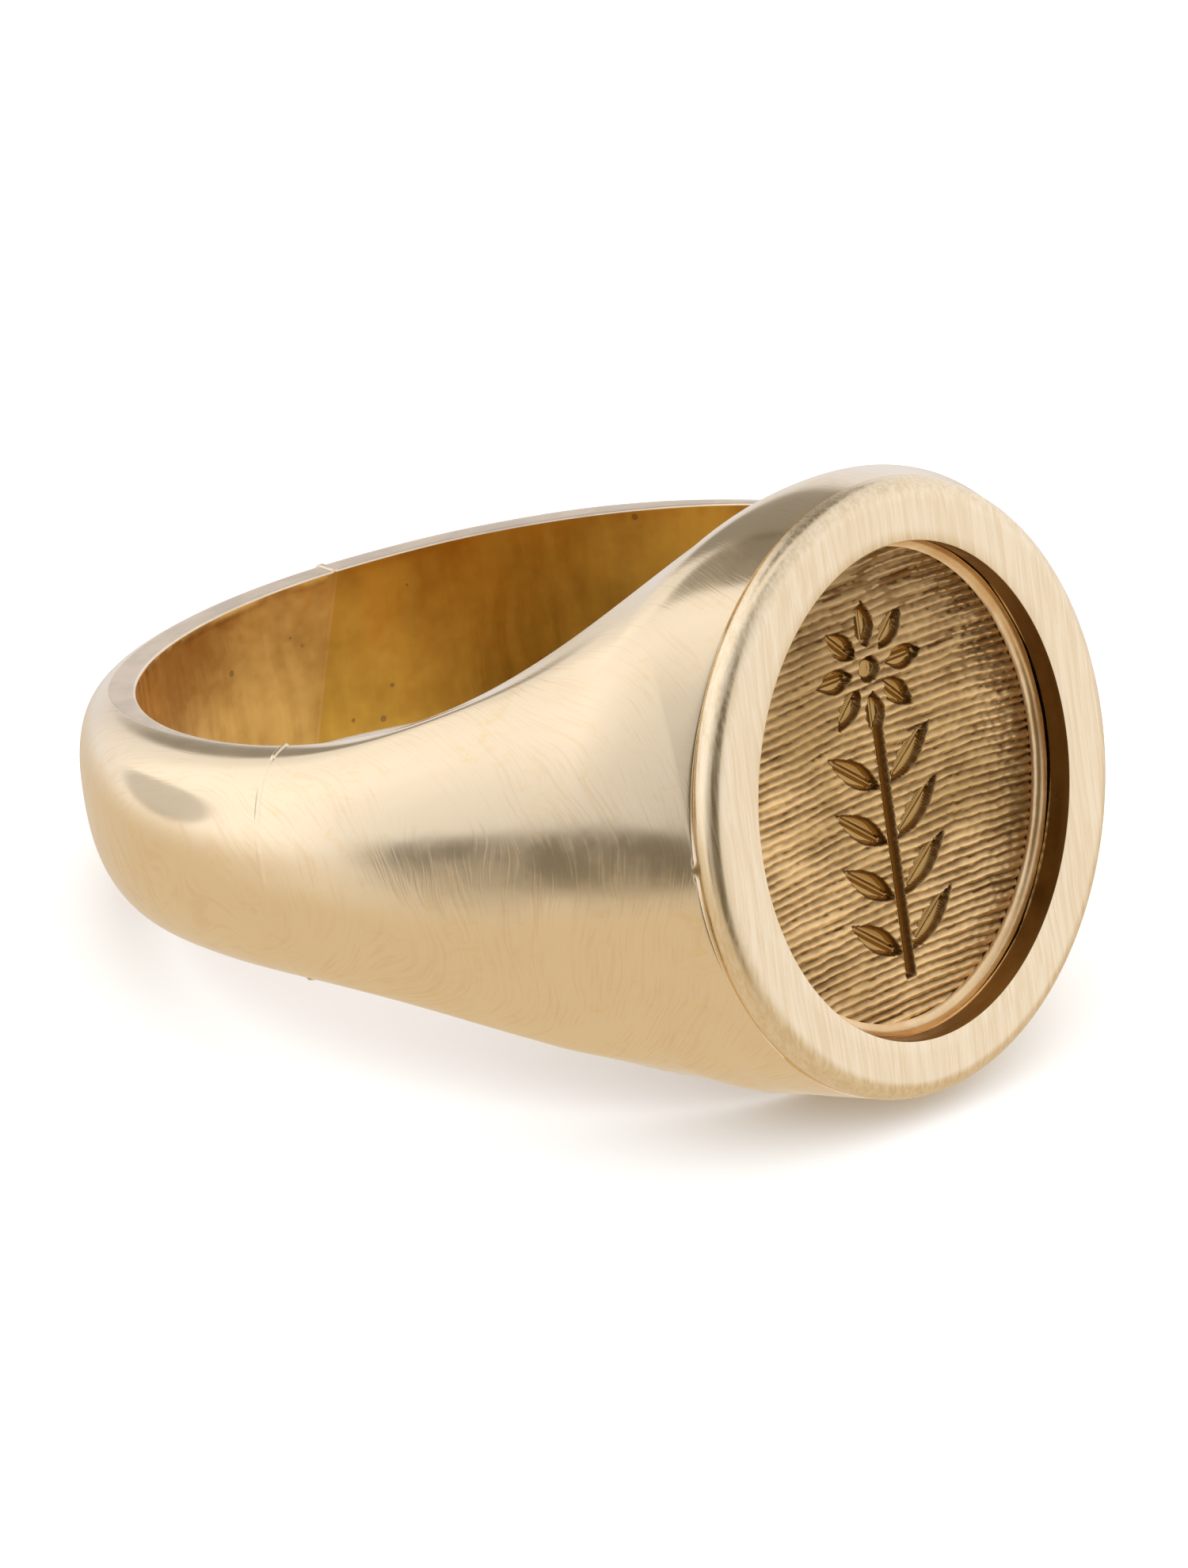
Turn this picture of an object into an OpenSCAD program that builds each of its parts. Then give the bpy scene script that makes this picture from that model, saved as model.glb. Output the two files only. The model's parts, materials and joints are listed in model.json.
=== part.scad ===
// Oval signet ring: a cast head and shank, an oval rim and an engraved
// plate soldered to its front, and a sizing piece let into its palm side.
// The finger's axis is Z, the face looks along -Y, and the origin is the
// centre of the finger hole.

/* [Finger hole] */
// Diameter of the finger hole
bore_d = 18.2; // [16:0.1:21]

/* [Band] */
// Metal thickness at the palm side
band_t = 1.5; // [1.2:0.05:2]
// Width of the band at the palm side
band_w = 3.8; // [3.4:0.1:5]
// Extra width of the band a quarter turn from the palm
side_growth = 1.0; // [0.4:0.1:1.4]
// Width of the flat on each edge of the band
edge_flat = 0.5; // [0.3:0.05:0.8]
// How squarely the outside of the band is domed
dome_power = 2.15; // [2:0.05:2.6]

/* [Head] */
// Metal between the finger hole and the face
head_t = 2.9; // [2.7:0.05:3.6]
// Width of the recess, across the finger
recess_w = 9.1; // [8.6:0.1:10]
// Length of the recess, along the finger
recess_l = 11.1; // [10.6:0.1:12]
// Width of the flat on the rim
rim_flat = 0.9; // [0.8:0.05:1.2]
// Radius of the rounding around the rim
rim_round = 0.45; // [0.3:0.05:0.5]
// Thickness of the rim's frame
rim_t = 0.6; // [0.55:0.05:0.7]
// Length of the finger hole through the head
hole_l = 12.9; // [11.8:0.1:13.2]
// How quickly the shoulders narrow from the head to the band
shoulder_power = 7; // [5:0.5:9]

/* [Seal plate] */
// Depth of the plate below the face
recess_depth = 0.95; // [0.75:0.05:1.05]
// Thickness of the plate
plate_t = 0.7; // [0.5:0.05:0.8]
// Size of the solder bead round the plate
bead = 0.22; // [0.15:0.01:0.3]
// Depth of the engraved emblem
cut_depth = 0.32; // [0.15:0.01:0.4]
// Pitch of the engraved ground lines
line_pitch = 0.3; // [0.25:0.01:0.5]
// Depth of the engraved ground lines
line_depth = 0.07; // [0.04:0.01:0.1]

/* [Sizing piece] */
// Angle from the face to the solder seam at the side
side_seam_at = 78; // [70:1:100]
// Angle past the palm's centre to the other seam
palm_seam_past = 6; // [2:1:20]
// Width of each solder seam
seam_w = 0.14; // [0.1:0.01:0.3]

/* [Hidden] */

bore_r = bore_d / 2;
band_r = bore_r + band_t;
face_at = bore_r + head_t;
seat_at = face_at - rim_t;
plate_at = face_at - recess_depth;
well_at = plate_at - plate_t;
recess_rx = recess_w / 2;
recess_rz = recess_l / 2;
flat_rx = recess_rx + rim_flat;
flat_rz = recess_rz + rim_flat;
head_rx = flat_rx + rim_round;
head_rz = flat_rz + rim_round;

round_at = face_at - rim_round;                      // where the rim's rounding ends
corner_psi = atan2(head_rx, round_at);               // that corner's angle from the face
corner_r = norm([head_rx, round_at]);
shoulder_sweep = 40;                                 // angle over which the shoulder falls to the band
shoulder_fall = 2.3;                                 // exponent of that fall
brow_power = 2.8;                                    // how full the head's ends stay before the hole
turn_power = 3;                                      // how fast the sections turn to point at the axis
crown_until = 57;                                    // angle up to which a section's crown lies behind its edge
inner_gap = 1.3;                                     // skin inside the hole, cleared later
least_edge = 0.05;                                   // flat beside the hole where the band has none

dome_steps = 20;
head_steps = 6;
arm_step = 4;
oval_steps = 96;
hole_steps = 128;
groove_w = line_pitch * 0.8;
groove_lift = line_depth / 10;                       // how far a groove starts before the plate's face
cut_clearance = 0.1;                                 // how far a cut reaches past the plate's face
leaf_lean = 52;                                      // angle between a leaf and the stem
seam_angle = seam_w / bore_r * 180 / PI;
side_seam_end = side_seam_at + seam_angle;
palm_seam_at = 180 - palm_seam_past;
palm_seam_end = palm_seam_at - seam_angle;

// ---- shape of the ring's skin ----

// Radius of the outline at mid-width, psi degrees from the face
function outline_r(psi) =
    let (t = max(0, min(1, (psi - corner_psi) / shoulder_sweep)))
    band_r + (corner_r - band_r) * (1 - t) ^ shoulder_fall;

// Half of the band's width, phi degrees from the face
function half_w(phi) =
    let (u = (1 - cos(phi)) / 2)
    band_w / 2 + side_growth / 2 * (1 - u ^ 2)
    + (hole_l - band_w - side_growth) / 2 * (1 - u) ^ shoulder_power;

// Angle between low and high at which the outline passes the given depth
function psi_at(depth, low, high) =
    let (mid = (low + high) / 2)
    high - low < 0.001 ? mid
    : outline_r(mid) * cos(mid) > depth ? psi_at(depth, mid, high)
    : psi_at(depth, low, mid);

seat_psi = psi_at(seat_at, corner_psi - 1, 60);
hole_psi = psi_at(bore_r, corner_psi, 80);

// A dome across one section: from e on the hole's edge to m on the outline.
// Its crown lies the given distance behind e, past a flat of the given width,
// and the row starts and finishes at two more points, over and under ends.
function dome(e, m, half, flat, behind, ends, power = dome_power) =
    let (
        dir = (m - e) / norm(m - e),
        reach = norm(m - e) - flat + behind,
        start = acos((behind / reach) ^ (power / 2)),
        rise = sin(start) ^ (2 / power)
    )
    concat(
        [[ends.x, ends.y, -half]],
        [for (i = [0 : dome_steps])
            let (
                a = start * (2 * i / dome_steps - 1),
                c = max(0, cos(a)) ^ (2 / power),
                s = sign(a) * abs(sin(a)) ^ (2 / power),
                w = flat - behind + reach * c
            )
            [e.x + dir.x * w, e.y + dir.y * w, half * s / rise]],
        [[ends.x, ends.y, half]]
    );

// Sections of the head, flat and parallel with the face. The one under the rim
// is a true oval, as the rim is.
function head_row(k) =
    let (
        psi = seat_psi + (hole_psi - seat_psi) * k / head_steps,
        depth = outline_r(psi) * cos(psi),
        fall = max(0, (round_at - depth) / (round_at - bore_r)),
        half = head_rz + (hole_l / 2 - head_rz) * fall ^ brow_power,
        power = 2 + (dome_power - 2) * k / head_steps,
        e = [0, -depth]
    )
    dome(e, [-outline_r(psi) * sin(psi), -depth], half, least_edge, 0, e, power);

// Sections of the arms, which lead the hole's edge by less and less, and
// which reach inside the hole by the given gap
function arm_row(phi, gap = inner_gap) =
    let (
        psi = phi + hole_psi * max(0, 1 - phi / 180) ^ turn_power,
        e = [-bore_r * sin(phi), -bore_r * cos(phi)],
        m = [-outline_r(psi) * sin(psi), -outline_r(psi) * cos(psi)],
        dir = (m - e) / norm(m - e),
        left = max(0, 1 - phi / crown_until),
        fade = left ^ 2 * (3 - 2 * left),
        behind = fade > 0 ? min(abs(e.x / dir.x), 1.3 * bore_r * sin(phi)) * fade : 0,
        flat = least_edge + edge_flat * (1 - cos(min(180, phi * 1.8))) / 2 * (1 - fade),
        inside = gap * min(1, 0.1 + phi / 20)
    )
    dome(e, m, half_w(phi), flat, behind, e * (1 - inside / bore_r));

function other_side(row) = [for (p = row) [-p.x, p.y, p.z]];

function angles(from, to) =
    let (n = ceil((to - from) / arm_step))
    [for (i = [0 : n]) from + (to - from) * i / n];

// A solid through rows of equal length, with a flat cap at each end
module loft(rows) {
    n = len(rows[0]);
    last = (len(rows) - 1) * n;
    polyhedron(
        points = [for (row = rows) each row],
        faces = concat(
            [[for (i = [0 : n - 1]) i]],
            [[for (i = [n - 1 : -1 : 0]) last + i]],
            [for (j = [0 : len(rows) - 2], i = [0 : n - 1])
                let (k = (i + 1) % n)
                each [[j * n + i, (j + 1) * n + i, (j + 1) * n + k],
                      [j * n + i, (j + 1) * n + k, j * n + k]]]
        )
    );
}

// A closed ring of metal through rows that go all the way round
module hoop(rows) {
    n = len(rows[0]);
    m = len(rows);
    polyhedron(
        points = [for (row = rows) each row],
        faces = [for (j = [0 : m - 1], i = [0 : n - 1])
            let (k = (i + 1) % n, l = (j + 1) % m)
            each [[j * n + i, l * n + i, l * n + k],
                  [j * n + i, l * n + k, j * n + k]]]
    );
}

module finger_hole() {
    translate([0, 0, -head_rz])
        cylinder(h = 2 * head_rz, r = bore_r, $fn = hole_steps);
}

// An upright oval block whose front is at the given distance from the hole's centre
module oval_block(rx, rz, front, depth) {
    translate([0, -front, 0])
        rotate([-90, 0, 0])
            linear_extrude(depth)
                polygon([for (i = [0 : oval_steps - 1])
                    let (a = 360 * i / oval_steps)
                    [rx * cos(a), rz * sin(a)]]);
}

// ---- head and shank ----

// The skin is two halves that share their points on the plane x = 0
module head_and_shank_skin() {
    head = [for (k = [0 : head_steps - 1]) head_row(k)];
    near = concat(head, [for (phi = angles(0, side_seam_at)) arm_row(phi)]);
    far = [for (row = concat(head, [for (phi = angles(0, palm_seam_end)) arm_row(phi)]))
        other_side(row)];
    n = len(near[0]);
    top = n - 1;
    far_at = len(near) * n;
    near_end = len(near) - 1;
    far_end = len(far) - 1;
    near_id = function (j, i) j * n + i;
    far_id = function (j, i)
        j <= head_steps && (i == 0 || i == top) ? near_id(j, i) : far_at + j * n + i;
    quad = function (a, b, c, d) [[a, b, c], [a, c, d]];
    polyhedron(
        points = [for (row = concat(near, far)) each row],
        faces = concat(
            // the seat at the front
            [concat([for (i = [0 : top]) near_id(0, i)],
                    [for (i = [top - 1 : -1 : 1]) far_id(0, i)])],
            // the outside of each arm
            [for (j = [0 : near_end - 1], i = [0 : top - 1])
                each quad(near_id(j, i), near_id(j + 1, i),
                          near_id(j + 1, i + 1), near_id(j, i + 1))],
            [for (j = [0 : far_end - 1], i = [0 : top - 1])
                each quad(far_id(j, i), far_id(j, i + 1),
                          far_id(j + 1, i + 1), far_id(j + 1, i))],
            // the inside of each arm
            [for (j = [head_steps : near_end - 1])
                each quad(near_id(j, top), near_id(j + 1, top), near_id(j + 1, 0), near_id(j, 0))],
            [for (j = [head_steps : far_end - 1])
                each quad(far_id(j, top), far_id(j, 0), far_id(j + 1, 0), far_id(j + 1, top))],
            // the two cut ends
            [[for (i = [top : -1 : 0]) near_id(near_end, i)]],
            [[for (i = [0 : top]) far_id(far_end, i)]]
        )
    );
}

module head_and_shank() {
    color("goldenrod")
        difference() {
            head_and_shank_skin();
            finger_hole();
            oval_block(recess_rx, recess_rz, seat_at + 1, seat_at + 1 - well_at);
        }
}

// ---- sizing piece and its two seams ----

module sizing_piece() {
    color("darkgoldenrod")
        difference() {
            loft(concat(
                [for (phi = angles(side_seam_end, 180)) arm_row(phi)],
                [for (phi = angles(0, 180 - palm_seam_at))
                    if (phi > 0) other_side(arm_row(180 - phi))]));
            finger_hole();
        }
}

// The seams are so narrow that their flat inner faces lie on the hole's wall
module side_seam() {
    color("khaki")
        loft([arm_row(side_seam_at, 0), arm_row(side_seam_end, 0)]);
}

module palm_seam() {
    color("khaki")
        loft([other_side(arm_row(palm_seam_at, 0)), other_side(arm_row(palm_seam_end, 0))]);
}

// ---- rim, plate and bead ----

// One slice across the rim at the given angle round the oval
module oval_rim() {
    round_steps = 5;
    profile = concat(
        [[0, -seat_at], [0, -face_at]],
        [for (i = [0 : round_steps])
            let (a = 90 * i / round_steps)
            [rim_flat + rim_round * sin(a), -round_at - rim_round * cos(a)]],
        [[rim_flat + rim_round, -seat_at]]
    );
    color("palegoldenrod")
        hoop([for (i = [0 : oval_steps - 1])
            let (a = 360 * i / oval_steps)
            [for (p = profile)
                [(recess_rx + p.x) * cos(a), p.y, (recess_rz + p.x) * sin(a)]]]);
}

// The bead is a hollow fillet in the corner between the plate and its wall
module plate_bead() {
    fillet_steps = 4;
    profile = concat(
        [[0, -plate_at]],
        [for (i = [0 : fillet_steps])
            let (a = 90 * i / fillet_steps)
            [bead * (1 - sin(a)), -plate_at - bead * (1 - cos(a))]]
    );
    color("gold")
        hoop([for (i = [0 : oval_steps - 1])
            let (a = 360 * i / oval_steps)
            [for (p = profile)
                [(recess_rx - p.x) * cos(a), p.y, (recess_rz - p.x) * sin(a)]]]);
}

// V grooves side by side across the whole plate
module ground_lines() {
    lines = floor(recess_l / line_pitch / 2);
    for (i = [-lines : lines])
        translate([0, -plate_at, i * line_pitch])
            rotate([0, 90, 0])
                linear_extrude(recess_w, center = true)
                    polygon([[-groove_w / 2, -groove_lift],
                             [groove_w / 2, -groove_lift],
                             [0, line_depth]]);
}

module seal_plate() {
    color("peru")
        difference() {
            oval_block(recess_rx, recess_rz, plate_at, plate_t);
            ground_lines();
            translate([0, -plate_at, 0])
                rotate([90, 0, 0])
                    translate([0, 0, -cut_depth])
                        linear_extrude(cut_depth + cut_clearance)
                            emblem();
        }
}

// ---- emblem: a flower of eight petals on a leafy stem ----

// A pointed leaf that grows from the origin along Y
module leaf(length, width) {
    polygon([for (i = [0 : 15])
        let (t = i < 8 ? i / 8 : (16 - i) / 8, s = i < 8 ? 1 : -1)
        [s * width / 2 * sin(180 * t) * (1 - 0.35 * t), length * t]]);
}

module flower(radius) {
    petals = 8;
    for (i = [0 : petals - 1])
        rotate(i * 360 / petals)
            translate([0, radius * 0.3])
                leaf(radius * 0.7, radius * 0.4);
    circle(radius * 0.18, $fn = 24);
}

// Pairs of leaves up a stem that stands on the origin
module leafy_stem(length, width, pairs) {
    pitch = length / (pairs + 0.6);
    translate([-width / 2, 0])
        square([width, length]);
    for (i = [0 : pairs - 1], side = [-1, 1])
        translate([0, pitch * (i + 0.4)])
            rotate(side * leaf_lean)
                translate([0, width / 2])
                    leaf(pitch * 1.45, pitch * 0.52);
}

module emblem() {
    flower_r = recess_w * 0.175;
    flower_at = recess_l * 0.24;
    foot_at = -recess_l * 0.4;
    translate([0, flower_at])
        flower(flower_r);
    translate([0, foot_at])
        leafy_stem(flower_at - flower_r * 0.8 - foot_at, recess_w * 0.033, 4);
}

head_and_shank();
sizing_piece();
side_seam();
palm_seam();
oval_rim();
seal_plate();
plate_bead();
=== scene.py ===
import json
import math

import bpy
from mathutils import Matrix, Vector, noise


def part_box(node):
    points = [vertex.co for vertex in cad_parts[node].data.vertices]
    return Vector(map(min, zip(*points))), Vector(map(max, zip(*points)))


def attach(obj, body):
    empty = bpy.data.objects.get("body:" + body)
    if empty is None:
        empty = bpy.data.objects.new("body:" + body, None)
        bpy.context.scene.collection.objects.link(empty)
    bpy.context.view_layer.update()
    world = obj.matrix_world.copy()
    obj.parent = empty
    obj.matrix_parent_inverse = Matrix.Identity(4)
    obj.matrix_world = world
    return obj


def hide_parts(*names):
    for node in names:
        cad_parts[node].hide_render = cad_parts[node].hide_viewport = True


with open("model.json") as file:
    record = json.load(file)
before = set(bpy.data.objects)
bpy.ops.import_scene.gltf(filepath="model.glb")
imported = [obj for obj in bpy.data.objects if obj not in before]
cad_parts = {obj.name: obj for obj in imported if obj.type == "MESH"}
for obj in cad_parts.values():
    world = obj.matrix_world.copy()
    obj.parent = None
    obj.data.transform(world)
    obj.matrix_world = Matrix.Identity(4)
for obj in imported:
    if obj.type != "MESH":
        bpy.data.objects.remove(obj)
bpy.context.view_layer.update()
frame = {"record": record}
print("frame loaded")

# The laws below work in millimetres. A mesh is in metres.
unit = 0.001
tiny = 1e-6                  # metres: points nearer than this are one point
onSurface = 0.0005           # millimetres: how near a point counts as on a surface

mounts = {mount["name"]: mount["dims"] for mount in frame["record"]["mounts"]}
rimLow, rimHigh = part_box("oval_rim")
plateLow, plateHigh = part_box("seal_plate")
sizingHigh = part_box("sizing_piece")[1]

ring = {
    "holeR": mounts["finger_hole"]["r_mm"],
    "holeLength": mounts["finger_hole"]["length_mm"],
    "bandR": sizingHigh.y / unit,
    "faceAt": -rimLow.y / unit,
    "seatAt": -rimHigh.y / unit,
    "headX": rimHigh.x / unit,
    "headZ": rimHigh.z / unit,
    "plateAt": -plateLow.y / unit,
    "wellAt": -plateHigh.y / unit,
    "recessX": plateHigh.x / unit,
    "recessZ": plateHigh.z / unit,
    "rimRound": 0.45,  # radius of the rim's outer edge
    "bandWidth": 3.8,
    "sideGrowth": 1.0,  # extra width a quarter turn from the palm
    "shoulderPower": 7,  # how quickly the shoulders narrow
    "shoulderSweep": 40,  # degrees over which the shoulder falls to the band
    "shoulderFall": 2.3,
    "browPower": 4.6,  # how full the head stays before the hole
    "headPower": 2.15,  # squareness of the head's sections
    "bandPower": 2.45,  # and of the band's
    "shoulderSwell": 0.085,  # extra fullness of the shoulders
    "swellAt": 51,  # degrees from the face where they are fullest
    "swellOver": 17,
    "swellRise": 0.4,  # share of the section's reach over which it sets in
    "underside": 0.185,  # the lower half of the band is fuller by this share
    "underFrom": 1.1,  # distances behind the seat over which it grows so
    "underUntil": 4.5,
    "nearLessens": (104, 144),  # degrees from the face over which it lessens again
    "farLessens": (145, 180),
    "palmUnderside": 0.05,  # what is left of it at the palm
    "turnFrom": 18,  # degrees between which sections turn
    "turnUntil": 72,  # from facing front to facing the axis
    "edgeFlat": 0.54,  # flat on each edge of the band, worn away at the shoulders
    "leastFlat": 0.10,
    "flatFrom": 92,
    "flatUntil": 136,
    "edgeRound": 0.055,  # rounding where the flat meets the hole
    "flatCrease": 0.30,  # how far the crown lies behind the flat's end
    "sideSeam": 78,  # degrees from the face, near side
    "palmSeam": 174,  # degrees from the face, far side
    "seamAngle": 0.88,
    "palmSlant": 2.0,  # degrees that the palm seam leans for each mm
    "slantOver": (24, 6),  # degrees from that seam over which its lean sets in
}


def smoothStep(low, high, value):
    t = min(1, max(0, (value - low) / (high - low)))
    return t * t * (3 - 2 * t)


def sind(angle):
    return math.sin(math.radians(angle))


def cosd(angle):
    return math.cos(math.radians(angle))


def makeActive(piece):
    bpy.ops.object.select_all(action="DESELECT")
    piece.select_set(True)
    bpy.context.view_layer.objects.active = piece


def startEdit(piece, kind="VERT"):
    makeActive(piece)
    bpy.ops.object.mode_set(mode="EDIT")
    bpy.ops.mesh.select_mode(type=kind)
    bpy.ops.mesh.select_all(action="DESELECT")


def endEdit():
    bpy.ops.object.mode_set(mode="OBJECT")


# picks the edges whose two ends both pass the test, while the piece is in edit mode
def pickEdges(piece, test):
    bpy.ops.object.mode_set(mode="OBJECT")
    mesh = piece.data
    for vertex in mesh.vertices:
        vertex.select = False
    for face in mesh.polygons:
        face.select = False
    for edge in mesh.edges:
        a, b = (mesh.vertices[i].co / unit for i in edge.vertices)
        edge.select = test(a) and test(b)
    bpy.ops.object.mode_set(mode="EDIT")


def applyModifier(piece, name):
    makeActive(piece)
    bpy.ops.object.modifier_apply(modifier=name)


# a grid whose rows and columns take their places from a law
def lawGrid(name, columns, rows, law):
    bpy.ops.object.select_all(action="DESELECT")
    bpy.ops.mesh.primitive_grid_add(x_subdivisions=columns, y_subdivisions=rows, size=1)
    piece = bpy.context.object
    piece.name = name
    for vertex in piece.data.vertices:
        column = round((vertex.co.x + 0.5) * columns)
        row = round((vertex.co.y + 0.5) * rows)
        vertex.co = Vector(law(column, row)) * unit
    return piece


def mirrorDown(piece):
    modifier = piece.modifiers.new("underside", "MIRROR")
    modifier.use_axis = (False, False, True)
    modifier.merge_threshold = tiny
    applyModifier(piece, "underside")


def joinPieces(name, pieces):
    makeActive(pieces[0])
    for piece in pieces:
        piece.select_set(True)
    bpy.ops.object.join()
    joined = bpy.context.object
    joined.name = name
    startEdit(joined)
    bpy.ops.mesh.select_all(action="SELECT")
    bpy.ops.mesh.remove_doubles(threshold=tiny)
    bpy.ops.mesh.normals_make_consistent(inside=False)
    endEdit()
    return joined


def smoothPiece(piece, angle):
    makeActive(piece)
    bpy.ops.object.shade_smooth_by_angle(angle=math.radians(angle))


cornerPsi = math.degrees(math.atan2(ring["headX"], ring["faceAt"] - ring["rimRound"]))
cornerR = math.hypot(ring["headX"], ring["faceAt"] - ring["rimRound"])


# radius of the outline at mid-width, psi degrees from the face
def outlineR(psi):
    t = min(1, max(0, (psi - cornerPsi) / ring["shoulderSweep"]))
    return ring["bandR"] + (cornerR - ring["bandR"]) * (1 - t) ** ring["shoulderFall"]


# half of the band's length along the finger, at the hole's edge
def edgeHeight(phi):
    u = (1 - cosd(phi)) / 2
    grown = ring["holeLength"] - ring["bandWidth"] - ring["sideGrowth"]
    return (ring["bandWidth"] + ring["sideGrowth"] * (1 - u * u)
            + grown * (1 - u) ** ring["shoulderPower"]) / 2


def flatWidth(phi):
    return ring["leastFlat"] + ring["edgeFlat"] * smoothStep(ring["flatFrom"], ring["flatUntil"], phi)


# where the outline passes a depth in front of the hole's centre
def outlineAngle(depth):
    low, high = cornerPsi - 1, 120
    for _ in range(40):
        middle = (low + high) / 2
        if outlineR(middle) * cosd(middle) > depth:
            low = middle
        else:
            high = middle
    return low


seatPsi = outlineAngle(ring["seatAt"])


# height over a point of the head: each section is parallel with the face
def headHeight(x, depth):
    holeR, seatAt = ring["holeR"], ring["seatAt"]
    psi = outlineAngle(depth)
    reach = outlineR(psi) * sind(psi)
    ahead = min(1, max(0, (seatAt - depth) / (seatAt - holeR)))
    power = 2 + (ring["headPower"] - 2) * ahead
    if depth >= holeR:
        crown = ring["headZ"] - (ring["headZ"] - ring["holeLength"] / 2) * ahead ** ring["browPower"]
    else:
        phi = math.degrees(math.acos(max(-1, depth / holeR)))
        crown = edgeHeight(phi) / (1 - (holeR * sind(phi) / reach) ** power) ** (1 / power)
    return crown * max(0, 1 - min(1, abs(x) / reach) ** power) ** (1 / power)


# height over a point of the band: each section faces the axis
def bandHeight(out, reach, phi):
    flat, behind, power = flatWidth(phi), ring["flatCrease"], ring["bandPower"]
    if out <= flat:
        return edgeHeight(phi)
    first = behind / (reach - flat + behind)
    here = min(1, (out - flat + behind) / (reach - flat + behind))
    return edgeHeight(phi) * ((1 - here ** power) / (1 - first ** power)) ** (1 / power)


def skinHeight(out, reach, phi):
    turned = smoothStep(ring["turnFrom"], ring["turnUntil"], phi)
    height = 0
    if turned < 1:
        r = ring["holeR"] + out
        height += (1 - turned) * headHeight(r * sind(phi), r * cosd(phi))
    if turned > 0:
        height += turned * bandHeight(out, reach, phi)
    swell = ring["shoulderSwell"] * math.exp(-((phi - ring["swellAt"]) / ring["swellOver"]) ** 2)
    return height * (1 + swell * smoothStep(0, ring["swellRise"] * reach, out))


# columns of the skin's grid over the rounding, the flat and the crown, and rows of the head
roundSteps = 5
flatSteps = 4
domeSteps = 44
headRows = 44
rowCrowding = 0.35           # 1 would space the rows evenly from the head to the seam


# one point of the skin: columns run from the hole's wall out to the middle of the band
def skinPoint(phi, column):
    holeR, edge, flat = ring["holeR"], ring["edgeRound"], flatWidth(phi)
    end = ring["seatAt"] / cosd(phi) if phi < seatPsi else outlineR(phi)
    reach = end - holeR
    drop = 0
    if column <= roundSteps:
        turn = 90 * column / roundSteps
        out = edge * (1 - cosd(turn))
        drop = edge * (1 - sind(turn))
    elif column <= roundSteps + flatSteps:
        out = edge + (flat - edge) * (column - roundSteps) / flatSteps
    else:
        out = flat + (reach - flat) * sind(90 * (column - roundSteps - flatSteps) / domeSteps)
    last = column == roundSteps + flatSteps + domeSteps
    height = 0 if last and phi >= seatPsi else skinHeight(out, reach, phi) - drop
    r = holeR + out
    return -r * sind(phi), -r * cosd(phi), height


# angles of the sections: they crowd together where the rim turns the corner
def headAngles(until):
    armRows = round(until - seatPsi)
    angles = [seatPsi * sind(90 * i / headRows) for i in range(headRows)]
    for i in range(armRows + 1):
        share = i / armRows
        angles.append(seatPsi + (until - seatPsi) * share * (share + rowCrowding * (1 - share)))
    return angles


def evenAngles(low, high, step=1.25):
    count = max(2, math.ceil((high - low) / step))
    return [low + (high - low) * i / count for i in range(count + 1)]


# the skin over some sections on one side of the ring: -1 is the near side
def skinStrip(side, angles):
    columns = roundSteps + flatSteps + domeSteps

    def law(column, row):
        x, y, z = skinPoint(angles[row], column)
        return -side * x, y, z

    strip = lawGrid("strip", columns, len(angles) - 1, law)
    mirrorDown(strip)
    lessens = ring["nearLessens"] if side < 0 else ring["farLessens"]
    for vertex in strip.data.vertices:
        if vertex.co.z < 0:
            phi = angleOf(vertex.co)
            behind = ring["seatAt"] + vertex.co.y / unit
            fuller = ring["underside"] * smoothStep(ring["underFrom"], ring["underUntil"], behind)
            fuller -= (ring["underside"] - ring["palmUnderside"]) * smoothStep(*lessens, phi)
            vertex.co.z *= 1 + fuller
    return strip


def onHole(point):
    return abs(math.hypot(point.x, point.y) - ring["holeR"]) < onSurface


# closes the hole's wall between its two edges, then the cut ends
def closeBand(piece, wallSteps=18):
    startEdit(piece, "EDGE")
    pickEdges(piece, onHole)
    bpy.ops.mesh.bridge_edge_loops(number_cuts=wallSteps, interpolation="LINEAR")
    bpy.ops.mesh.select_all(action="DESELECT")
    bpy.ops.mesh.select_non_manifold(extend=False, use_wire=False, use_multi_face=False,
                                     use_non_contiguous=False, use_verts=False)
    bpy.ops.mesh.fill_holes(sides=0)
    bpy.ops.mesh.select_all(action="SELECT")
    bpy.ops.mesh.normals_make_consistent(inside=False)
    endEdit()


def angleOf(point):
    return math.degrees(math.atan2(abs(point.x), -point.y))


# the palm seam leans, and the metal either side of it with it
def leanPalmSeam(piece):
    for vertex in piece.data.vertices:
        angle = angleOf(vertex.co)
        if vertex.co.x < 0:
            angle = 360 - angle
        lean = ring["palmSlant"] * smoothStep(*ring["slantOver"], abs(angle - ring["palmSeam"]))
        if lean:
            turn = Matrix.Rotation(math.radians(lean * -vertex.co.z / unit), 3, "Z")
            vertex.co = turn @ vertex.co


def castingPiece():
    near = skinStrip(-1, headAngles(ring["sideSeam"]))
    far = skinStrip(1, headAngles(ring["palmSeam"] - ring["seamAngle"]))
    casting = joinPieces("casting", [near, far])

    # the seat under the rim and the well under the plate
    seat = -ring["seatAt"]
    startEdit(casting, "EDGE")
    pickEdges(casting, lambda point: abs(point.y - seat) < onSurface)
    bpy.ops.mesh.extrude_edges_move()
    shrink = (ring["recessX"] / ring["headX"], 1, ring["recessZ"] / ring["headZ"])
    bpy.ops.transform.resize(value=shrink, center_override=(0, seat * unit, 0))
    depth = (ring["seatAt"] - ring["wellAt"]) * unit
    bpy.ops.mesh.extrude_edges_move(TRANSFORM_OT_translate={"value": (0, depth, 0)})
    bpy.ops.mesh.edge_face_add()
    endEdit()
    closeBand(casting)
    leanPalmSeam(casting)
    return casting


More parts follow.
